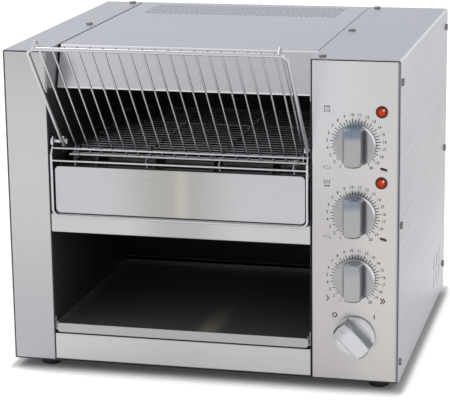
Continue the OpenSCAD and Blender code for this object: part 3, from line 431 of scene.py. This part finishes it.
plasticLooks = {
    "gearboxCast": {
        "color": (0.2, 0.22, 0.25), "roughness": 0.5, "grainSize": 900.0, "depth": 0.3, "metallic": 0.2},
    "motorPaint": {"color": (0.03, 0.033, 0.036), "grainSize": 1200.0, "depth": 0.2},
    "ceramic": {"color": (0.75, 0.71, 0.62), "roughness": 0.6, "grainSize": 900.0, "depth": 0.1},
    "phenolic": {"color": (0.68, 0.65, 0.55), "roughness": 0.5},
    "blackPlastic": {"color": (0.02, 0.02, 0.021), "grainSize": 1500.0, "depth": 0.2},
    "switchKnob": {
        "color": (0.56, 0.57, 0.585), "roughness": 0.28, "grainSize": 2200.0, "metallic": 0.75,
        "coat": 0.15,
        "bands": [
            # painted shade along both long sides of the grip and a painted darker tone toward one end of it
            softTone((0.20, 0.21, 0.24), (slant, 0, slant), center=switchRise + 0.0105, width=0.0028,
                     amount=0.75),
            softTone((0.26, 0.27, 0.29), (slant, 0, slant), center=switchRise - 0.0120, width=0.0024,
                     amount=0.7),
            softTone((0.36, 0.37, 0.39), (slant, 0, -slant), center=switchFall - 0.017, width=0.012,
                     amount=0.8)]},
    "bezel": {
        "color": (0.03, 0.004, 0.003), "roughness": 0.3, "grainSize": 1500.0, "depth": 0.1, "coat": 0.3},
    "terminal": {"color": (0.72, 0.7, 0.66), "roughness": 0.45},
    "rubber": {"color": (0.012, 0.012, 0.012), "roughness": 0.7, "grainSize": 700.0, "depth": 0.3},
    "ink": {"color": (0.005, 0.005, 0.007), "roughness": 0.6, "grainSize": 600.0, "depth": 0.4},
    "paleInk": {"color": (0.07, 0.07, 0.08), "roughness": 0.5, "grainSize": 600.0, "depth": 0.4},
}

ovenLook = {
    "line": 0.336,  # the height below which the wall is drawn near black
    "blur": 0.0004,
    "darkLower": {
        "Color": (0.013, 0.0135, 0.016), "Burnt": (0.020, 0.0195, 0.021), "Size": 9.0, "Roughness": 0.7},
    "sheet": {
        "Color": (0.34, 0.34, 0.34), "Stretch": (600, 4, 600), "Contrast": 0.08, "Roughness": 0.34,
        "Clouds": 0.05},
    "bump": 0.00002,
}


def ovenMaterial(name):
    mat, tree, shader = startMaterial(name)
    look = ovenLook
    darkLower = useGroup(tree, patchyDark, look["darkLower"])
    sheet = useGroup(tree, brushed, look["sheet"])
    # the walls are drawn near black below the line and bare brushed steel above it
    bare = addRange(tree, splitPlace(tree)["Z"], look["line"] - look["blur"], look["line"] + look["blur"])
    color = addMix(tree, bare, darkLower["Color"], sheet["Color"])
    rough = addMix(tree, bare, darkLower["Roughness"], sheet["Roughness"], "FLOAT")
    setShader(tree, shader, color, rough, {"Metallic": bare}, darkLower["Height"], look["bump"])
    return mat


hoodLook = {
    # painted light: the flat top and the slanted hood are one sheet, drawn with a darker, bluer tone on top
    # and a lighter one on the hood
    "top": {
        "Color": (0.315, 0.335, 0.40), "Stretch": brushX, "Contrast": 0.05, "Roughness": 0.30,
        "Clouds": 0.06},
    "hood": {
        "Color": (0.44, 0.43, 0.46), "Stretch": brushX, "Contrast": 0.08, "Roughness": 0.30,
        "Clouds": 0.05},
    "topFrom": (topZ - 0.0006, topZ - 0.0002),  # the flat top's painted tone begins within this height
    # painted highlights along the lower lip and along the fold
    "edges": [
        softTone((0.72, 0.71, 0.70), wayZ, center=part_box("top_panel")[0].z, width=0.0030, amount=0.9),
        softTone((0.72, 0.71, 0.74), wayZ, center=topZ - 0.0008, width=0.0024, amount=0.9)],
    "bump": 0.000004,
}


def hoodMaterial(name):
    mat, tree, shader = startMaterial(name)
    look = hoodLook
    top = useGroup(tree, brushed, look["top"])
    hood = useGroup(tree, brushed, look["hood"])
    isTop = addRange(tree, splitPlace(tree)["Z"], *look["topFrom"])
    color = addMix(tree, isTop, addBands(tree, hood["Color"], look["edges"]), top["Color"])
    setShader(tree, shader, color, top["Roughness"], {"Metallic": 1.0}, top["Height"], look["bump"])
    return mat


knobShine = {
    "grip": (0.0086, 0.0094),  # from the middle to each side, where the grip's painted reflection ends
    "top": (0.0165, 0.0095),  # down from the knob's top, where that painted reflection starts and where it is full
    # a bluish painted reflection on the top of the grip
    "tone": (0.12, 0.165, 0.25),
    "shadedFlanks": [  # painted shade on the grip's sides: tint, place beside the middle, width and share of the flank shade amount
        ((0.05, 0.055, 0.075), 0.0122, 0.0042, 1.0),
        ((0.14, 0.14, 0.15), -0.0124, 0.0026, 0.6)],
    "rim": (0.0026, 0.0016),  # in from the edge, where the rim's painted highlight lies
    "rimHighlightTone": (0.85, 0.87, 0.92),
    "rimAim": (0.82, 0.57),  # the side of the rim that gets the painted highlight
    "rimFade": (0.80, 0.95),
    "rimAmount": 0.8,
    "grain": {"Grain": 2200.0, "Depth": 0.06, "Roughness": 0.34},
    "metallic": 0.75,
    "coat": 0.1,
    "bump": 0.00001,
}

knobLooks = {
    "upperKnob": {"node": "upper_heat_knob", "color": (0.34, 0.345, 0.355), "blue": 0.8, "flankShade": 0.85},
    "lowerKnob": {"node": "lower_heat_knob", "color": (0.34, 0.345, 0.355), "blue": 0.6, "flankShade": 0.85},
    "speedKnob": {"node": "speed_knob", "color": (0.36, 0.362, 0.37), "blue": 0.25, "flankShade": 0.8},
}


def knobMaterial(name, node, color, blue, flankShade):
    mat, tree, shader = startMaterial(name)
    look = knobShine
    at = middle(node)
    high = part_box(node)[1]
    body = useGroup(tree, grain, {"Color": color, **look["grain"]})
    place = splitPlace(tree)
    across = addMath(tree, "SUBTRACT", place["X"], at.x)
    rise = addMath(tree, "SUBTRACT", place["Z"], at.z)
    grip = addRange(tree, addMath(tree, "ABSOLUTE", across), *look["grip"], 1.0, 0.0)
    upper = addRange(tree, place["Z"], *[high.z - down for down in look["top"]])
    # the bluish painted reflection on the top of the grip
    glint = addMath(tree, "MULTIPLY", addMath(tree, "MULTIPLY", grip, upper), blue)
    # painted shade on both sides of the grip
    shadedFlanks = [softTone(tint, wayX, center=at.x + off, width=width, amount=share * flankShade)
              for tint, off, width, share in look["shadedFlanks"]]
    shown = addBands(tree, addMix(tree, glint, body["Color"], look["tone"]), shadedFlanks)
    # a painted highlight on one side of the rim
    reach = addReach(tree, across, rise)
    parts = [addMath(tree, "MULTIPLY", way, part) for way, part in zip((across, rise), look["rimAim"])]
    aim = addMath(tree, "DIVIDE", addMath(tree, "ADD", *parts), reach)
    rim = addRange(tree, reach, *[high.x - at.x - inside for inside in look["rim"]])
    arc = addMath(tree, "MULTIPLY", rim, addRange(tree, aim, *look["rimFade"], 0.0, look["rimAmount"]))
    shown = addMix(tree, arc, shown, look["rimHighlightTone"])
    plain = {"Metallic": look["metallic"], "Coat Weight": look["coat"]}
    setShader(tree, shader, shown, body["Roughness"], plain, body["Height"], look["bump"])
    return mat


lensLook = {
    "glow": {"Color": (0.72, 0.055, 0.004), "Grain": 500.0, "Depth": 0.3, "Roughness": 0.25},
    "rim": (0.13, 0.008, 0.003),
    "heart": (0.5, 0.92),  # shares of the lens's radius, where the glow is full and where it ends
    "spot": (0.05, 0.30),  # the same for the small painted highlight
    "spotOff": 0.42,  # the painted highlight's place, also as a share of the radius
    "spotTone": (0.9, 0.8, 0.75),
    "specular": 0.15,
    "bump": 0.00002,
}


def lampMask(tree, place, off, shares):  # a disc on each lamp, off to the right and up
    low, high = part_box("lamp_lenses")
    radius = (high.x - low.x) / 2
    masks = []
    for z in (low.z + radius, high.z - radius):
        across = addMath(tree, "SUBTRACT", place["X"], low.x + radius + radius * off)
        rise = addMath(tree, "SUBTRACT", place["Z"], z + radius * off)
        ends = [radius * share for share in shares]
        masks.append(addRange(tree, addReach(tree, across, rise), *ends, 1.0, 0.0))
    return addMath(tree, "MAXIMUM", *masks)


def lensMaterial(name):
    mat, tree, shader = startMaterial(name)
    look = lensLook
    body = useGroup(tree, grain, look["glow"])
    place = splitPlace(tree)
    lit = addMix(tree, lampMask(tree, place, 0.0, look["heart"]), look["rim"], body["Color"])
    # a small painted highlight up and to the right on each lens
    lit = addMix(tree, lampMask(tree, place, look["spotOff"], look["spot"]), lit, look["spotTone"])
    plain = {"Specular IOR Level": look["specular"]}
    setShader(tree, shader, lit, body["Roughness"], plain, body["Height"], look["bump"])
    return mat


kinds = ((steelMaterial, steelLooks), (paintMaterial, paintLooks), (wireMaterial, wireLooks),
         (plasticMaterial, plasticLooks), (knobMaterial, knobLooks))
finishes = {name: make(name, **look) for make, looks in kinds for name, look in looks.items()}
for name, make in (("ovenWall", ovenMaterial), ("topSheet", hoodMaterial), ("lens", lensMaterial)):
    finishes[name] = make(name)

dressing = {
    "facia": ["left_facia"],
    "lintel": ["lintel"],
    "apron": ["apron"],
    "controlPanel": ["control_panel"],
    "cover": ["left_cover", "right_cover", "back_panel"],
    "topSheet": ["top_panel"],
    "innerSheet": ["inner_panel"],
    "plated": ["tray_runners", "belt_rails", "motor_spacers"],
    "sootSteel": ["upper_reflector"],
    "blackSheet": ["base_pan", "belt_shield", "return_chute"],
    "traySheet": ["landing_tray"],
    "ovenWall": ["left_oven_wall", "right_oven_wall"],
    "rackWire": ["rack_frame", "rack_guard", "rack_fingers", "rack_guides"],
    "pin": ["rack_pins"],
    "beltWire": ["conveyor_belt"],
    "idler": ["idler_shaft"],
    "shaft": ["drive_shaft", "motor_shaft", "upper_heat_spindle", "lower_heat_spindle", "speed_spindle",
              "switch_spindle"],
    "sprocket": ["drive_sprockets", "idler_sprockets", "driven_sprocket", "motor_sprocket"],
    "chain": ["drive_chain"],
    "bronze": ["shaft_bushes"],
    "gearboxCast": ["gearbox"],
    "motorPaint": ["motor"],
    "quartz": ["upper_elements", "lower_elements"],
    "ceramic": ["element_holders"],
    "phenolic": ["heat_regulators"],
    "blackPlastic": ["main_switch", "speed_control", "cord_gland"],
    "upperKnob": ["upper_heat_knob"],
    "lowerKnob": ["lower_heat_knob"],
    "speedKnob": ["speed_knob"],
    "switchKnob": ["switch_knob"],
    "bezel": ["lamp_bezels"],
    "lens": ["lamp_lenses"],
    "terminal": ["terminal_block"],
    "rubber": ["feet"],
    "screw": ["top_screws", "side_screws", "back_screws"],
}

for finish, members in dressing.items():
    for member in members:
        piece = nodes[member]
        if not piece.material_slots:
            piece.data.materials.append(finishes[finish])
        for holder in piece.material_slots:
            holder.material = finishes[finish]
print("finishes on", len(nodes), "pieces")


# printed marks on the control panel

printLook = {"lift": 0.00006, "smooth": 3, "bold": 0.018, "ringSteps": 32}


def addPiece(name, bm, material, body):
    bm.normal_update()
    inwards = [face for face in bm.faces if face.normal.y > 0]
    bmesh.ops.reverse_faces(bm, faces=inwards)  # flat print has no inside of its own
    mesh = bpy.data.meshes.new(name)
    bm.to_mesh(mesh)
    bm.free()
    mesh.materials.append(material)
    obj = bpy.data.objects.new(name, mesh)
    scene.collection.objects.link(obj)
    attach(obj, body)


def printSpot(x, z):
    return Matrix.Translation((x, frontY - printLook["lift"], z))


def addText(bm, words, size, x, z):
    curve = bpy.data.curves.new("mark", "FONT")
    curve.body = words
    curve.size = size
    curve.align_x = "CENTER"
    curve.align_y = "CENTER"
    curve.resolution_u = printLook["smooth"]
    curve.offset = size * printLook["bold"]
    holder = bpy.data.objects.new("mark", curve)
    scene.collection.objects.link(holder)
    bpy.context.view_layer.update()
    mesh = bpy.data.meshes.new_from_object(holder.evaluated_get(bpy.context.evaluated_depsgraph_get()))
    mesh.transform(printSpot(x, z) @ Matrix.Rotation(math.pi / 2, 4, "X"))
    bm.from_mesh(mesh)
    bpy.data.objects.remove(holder)
    bpy.data.curves.remove(curve)
    bpy.data.meshes.remove(mesh)


def addBar(bm, x, z, angle, inner, outer, width):  # a bar that points away from x, z at the angle
    made = bmesh.ops.create_grid(bm, x_segments=1, y_segments=1, size=0.5)["verts"]
    spot = printSpot(x, z) @ Matrix.Rotation(angle, 4, "Y") @ Matrix.Translation((0, 0, (inner + outer) / 2))
    spot = spot @ Matrix.Rotation(math.pi / 2, 4, "X") @ Matrix.Diagonal((width, outer - inner, 1, 1))
    bmesh.ops.transform(bm, matrix=spot, verts=made)


def placeFlat(bm, verts, x, z, squash, turn):
    spot = printSpot(x, z) @ Matrix.Rotation(math.radians(turn), 4, "Y")
    spot = spot @ Matrix.Rotation(math.pi / 2, 4, "X") @ Matrix.Diagonal((1, squash, 1, 1))
    bmesh.ops.transform(bm, matrix=spot, verts=verts)


def addRing(bm, x, z, radius, line, squash=1.0, turn=0.0):
    outer = bmesh.ops.create_circle(bm, segments=printLook["ringSteps"], radius=radius)["verts"]
    edges = dict.fromkeys(e for v in outer for e in v.link_edges)  # each edge once, in order
    grown = bmesh.ops.extrude_edge_only(bm, edges=list(edges))["geom"]
    inner = [g for g in grown if isinstance(g, bmesh.types.BMVert)]
    bmesh.ops.scale(bm, vec=(1 - line / radius,) * 3, verts=inner)
    placeFlat(bm, list(outer) + inner, x, z, squash, turn)


def addDisc(bm, x, z, radius, squash, turn):
    made = bmesh.ops.create_circle(bm, cap_ends=True, segments=printLook["ringSteps"], radius=radius)["verts"]
    placeFlat(bm, made, x, z, squash, turn)


dialPrint = {"sweep": 147.6, "steps": 20, "numbers": 0.0326, "size": 0.0047, "inner": 0.0232,
             "long": 0.0288, "short": 0.0270, "wide": 0.0009, "right": 0.0007}
dials = {  # the knob inside each scale, and how far the scale's middle lies above it
    "upperHeatScale": ("upper_heat_knob", 0.002),
    "lowerHeatScale": ("lower_heat_knob", 0.0),
    "speedScale": ("speed_knob", 0.001),
}


def dialScale(name, knobNode, shift):
    d = dialPrint
    at = middle(knobNode) + Vector((d["right"], 0, shift))
    bm = bmesh.new()
    for i in range(2 * d["steps"] - 1):
        angle = math.radians(-d["sweep"] + i * d["sweep"] / (d["steps"] - 1))
        numbered = i % 2 == 0
        addBar(bm, at.x, at.z, angle, d["inner"], d["long"] if numbered else d["short"], d["wide"])
        if numbered:
            x, z = at.x + d["numbers"] * math.sin(angle), at.z + d["numbers"] * math.cos(angle)
            addText(bm, str(i // 2 + 1), d["size"], x, z)
    addPiece(name, bm, finishes["ink"], "casing")


for name, (knobNode, shift) in dials.items():
    dialScale(name, knobNode, shift)

signs = {"left": -0.0318, "right": 0.0325, "line": 0.0006, "heavy": 0.0012}
heaterLook = {"z": 0.0398, "lowerDrop": 0.0036, "plate": 0.0034, "leg": 0.0030, "legLong": 0.0036,
              "legShort": 0.0020, "tie": 0.0022, "flame": 0.0011, "flameEnds": (-0.0010, 0.0012)}
sliceLook = {
    "z": -0.0266, "crustDrop": 0.0007,
    "one": {"radius": 0.0042, "line": 0.0008, "squash": 0.42, "turn": 10},
    "dark": {"radius": 0.0044, "squash": 0.34, "turn": 16},
    "crust": {"radius": 0.0042, "line": 0.0006, "squash": 0.46, "turn": 16},
}
chevronLook = {"z": -0.0235, "spread": 50, "arm": 0.0042, "slow": (0.0020, -0.0006), "fastDrop": 0.0010,
               "fastStep": 0.0026}


def heaterSign(bm, x, z, side):  # the heavy plate is above for side 1 and below for side -1
    d = heaterLook
    legs = (-d["legLong"], d["legShort"]) if side > 0 else (-d["legShort"], d["legLong"])
    addBar(bm, x, z + side * d["plate"], math.pi / 2, -d["plate"], d["plate"], signs["heavy"])
    for off in (-d["leg"], d["leg"]):
        addBar(bm, x + off, z, 0, *legs, signs["line"])
    addBar(bm, x, z - side * d["tie"], math.pi / 2, -d["leg"], d["leg"], signs["line"])
    for off in (-d["flame"], d["flame"]):
        addBar(bm, x + off, z, 0, *d["flameEnds"], signs["line"])


def chevron(bm, x, z):
    for tilt in (-1, 1):
        angle = math.radians(-90 + tilt * chevronLook["spread"])
        addBar(bm, x, z, angle, 0.0, chevronLook["arm"], signs["heavy"])


def signPrint():
    dark = bmesh.new()
    pale = bmesh.new()
    for node, side, drop in (("upper_heat_knob", 1, 0.0), ("lower_heat_knob", -1, heaterLook["lowerDrop"])):
        at = middle(node)
        left, right = at.x + signs["left"], at.x + signs["right"]
        heaterSign(dark, left, at.z + heaterLook["z"] - drop, side)
        addRing(pale, left, at.z + sliceLook["z"], **sliceLook["one"])
        addDisc(dark, right, at.z + sliceLook["z"], **sliceLook["dark"])
        addRing(pale, right, at.z + sliceLook["z"] - sliceLook["crustDrop"], **sliceLook["crust"])
    at = middle("speed_knob")
    slowX, slowZ = chevronLook["slow"]
    chevron(dark, at.x + signs["left"] + slowX, at.z + chevronLook["z"] + slowZ)
    for off in (0.0, chevronLook["fastStep"]):
        chevron(dark, at.x + signs["right"] + off, at.z + chevronLook["z"] - chevronLook["fastDrop"])
    addPiece("signsDark", dark, finishes["ink"], "casing")
    addPiece("signsPale", pale, finishes["paleInk"], "casing")


signPrint()

switchLook = {"out": 0.0335, "angle": 43.0, "ring": 0.0030, "line": 0.0012, "bar": 0.0060}


def switchPrint():
    at = middle("switch_knob")
    d = switchLook
    bm = bmesh.new()
    side = d["out"] * math.sin(math.radians(d["angle"]))
    up = d["out"] * math.cos(math.radians(d["angle"]))
    addRing(bm, at.x - side, at.z + up, d["ring"], d["line"])
    addBar(bm, at.x + side, at.z + up, 0, -d["bar"] / 2, d["bar"] / 2, d["line"])
    addPiece("switchMarks", bm, finishes["ink"], "casing")


switchPrint()
print("scales printed")


# floor, world, lamps and camera

floorLook = {
    "reach": 8.0,
    "tone": 0.88,
    "speck": 0.01,
    "speckSize": 60.0,
    "speckDetail": 3.0,
    "roughness": 0.9,
    "side": (-0.002, 0.010),  # where the painted contact shadow starts and ends, out from the casing's sides
    "front": (-0.004, 0.030),  # the same in front of it and behind it
    # how dark the painted contact shadow is at the casing, and where it ends
    "contact": 0.72,
    "contactEnd": 0.6,
    "glow": (0.03, 0.56),  # beside the casing and away from it; the weaker glow beside it is a painted shadow
}
worldLook = {"ambient": 0.60}
lampLooks = {
    "key": {"place": (-1.3, 0.8, 2.4), "aim": (0, 0, 0.1), "size": (1.6, 1.4), "power": 28.0},
    "fill": {"place": (-1.8, -2.0, 1.8), "aim": (0, 0, 0.2), "size": (1.6, 1.2), "power": 5.0},
    "rim": {"place": (1.6, -0.8, 1.9), "aim": (0.15, -0.15, 0.25), "size": (0.5, 0.6), "power": 5.0},
}
cameraLook = {
    "right": (0.971063631326767, 0.23846940288064628, -0.012952521153076739),
    "up": (-0.04565925861212011, 0.23861556254723998, 0.9700401256717455),
    "place": (0.529778, -2.004620, 0.733723),  # y is measured from the front panels
    "lens": 148.698,
    "sensor": 36.0,
    "clip": (0.05, 60.0),
}


def seenDirectly(tree):  # 1 for the camera and for what metal and glass show
    path = tree.nodes.new("ShaderNodeLightPath").outputs
    mirrored = addMath(tree, "MAXIMUM", path["Is Glossy Ray"], path["Is Transmission Ray"])
    return addMath(tree, "MAXIMUM", path["Is Camera Ray"], mirrored)


def floorMaterial():
    mat, tree, shader = startMaterial("floorPaper")
    look = floorLook
    place = splitPlace(tree)
    middleY = (frontY + cadBox[1].y) / 2
    sideways = addMath(tree, "SUBTRACT", addMath(tree, "ABSOLUTE", place["X"]), cadBox[1].x)
    fromMiddle = addMath(tree, "ABSOLUTE", addMath(tree, "SUBTRACT", place["Y"], middleY))
    forwards = addMath(tree, "SUBTRACT", fromMiddle, cadBox[1].y - middleY)
    parts = [addRange(tree, sideways, *look["side"]), addRange(tree, forwards, *look["front"])]
    away = addRange(tree, addReach(tree, *parts, clamp=True), kind="SMOOTHSTEP")
    speck = addNoise(tree, objectPlace(tree), look["speckSize"], look["speckDetail"])
    grey = addRange(tree, speck, 0.0, 1.0, look["tone"] - look["speck"], look["tone"] + look["speck"])
    # painted contact shadow: the paper's tone is darker beside the casing
    contact = addRange(tree, away, 0.0, look["contactEnd"], look["contact"], 1.0)
    tone = addMath(tree, "MULTIPLY", grey, contact)
    paper = tree.nodes.new("ShaderNodeCombineColor")
    for socket in paper.inputs:
        feed(tree, tone, socket)
    # the glow is weaker beside the casing, a painted shadow
    glow = addMath(tree, "MULTIPLY", seenDirectly(tree), addRange(tree, away, 0.0, 1.0, *look["glow"]))
    plain = {"Emission Color": (1, 1, 1), "Emission Strength": glow}
    setShader(tree, shader, paper.outputs[0], look["roughness"], plain)
    return mat


def buildFloor():
    bm = bmesh.new()
    bmesh.ops.create_grid(bm, x_segments=1, y_segments=1, size=floorLook["reach"])
    mesh = bpy.data.meshes.new("floor")
    bm.to_mesh(mesh)
    bm.free()
    mesh.materials.append(floorMaterial())
    floor = bpy.data.objects.new("floor", mesh)
    scene.collection.objects.link(floor)


def buildWorld():
    world = bpy.data.worlds.new("studio")
    scene.world = world
    world.use_nodes = True
    tree = world.node_tree
    back = tree.nodes["Background"].inputs
    feed(tree, (1, 1, 1), back["Color"])
    feed(tree, addRange(tree, seenDirectly(tree), 0.0, 1.0, worldLook["ambient"], 1.0), back["Strength"])


def addLamp(name, place, aim, size, power):
    light = bpy.data.lights.new(name, "AREA")
    light.shape = "RECTANGLE"
    light.size, light.size_y = size
    light.energy = power
    lamp = bpy.data.objects.new(name, light)
    scene.collection.objects.link(lamp)
    lamp.location = place
    lamp.rotation_euler = (Vector(aim) - Vector(place)).to_track_quat("-Z", "Y").to_euler()


def buildCamera():
    look = cameraLook
    x, y, z = look["place"]
    right, up = Vector(look["right"]), Vector(look["up"])
    data = bpy.data.cameras.new("camera")
    data.lens = look["lens"]
    data.sensor_width = look["sensor"]
    data.clip_start, data.clip_end = look["clip"]
    camera = bpy.data.objects.new("camera", data)
    scene.collection.objects.link(camera)
    turn = Matrix((right, up, right.cross(up))).transposed().to_4x4()
    camera.matrix_world = Matrix.Translation((x, frontY + y, z)) @ turn
    scene.camera = camera


buildFloor()
buildWorld()
for name, look in lampLooks.items():
    addLamp(name, **look)
buildCamera()
scene.view_settings.view_transform = "Standard"
print("stage set")
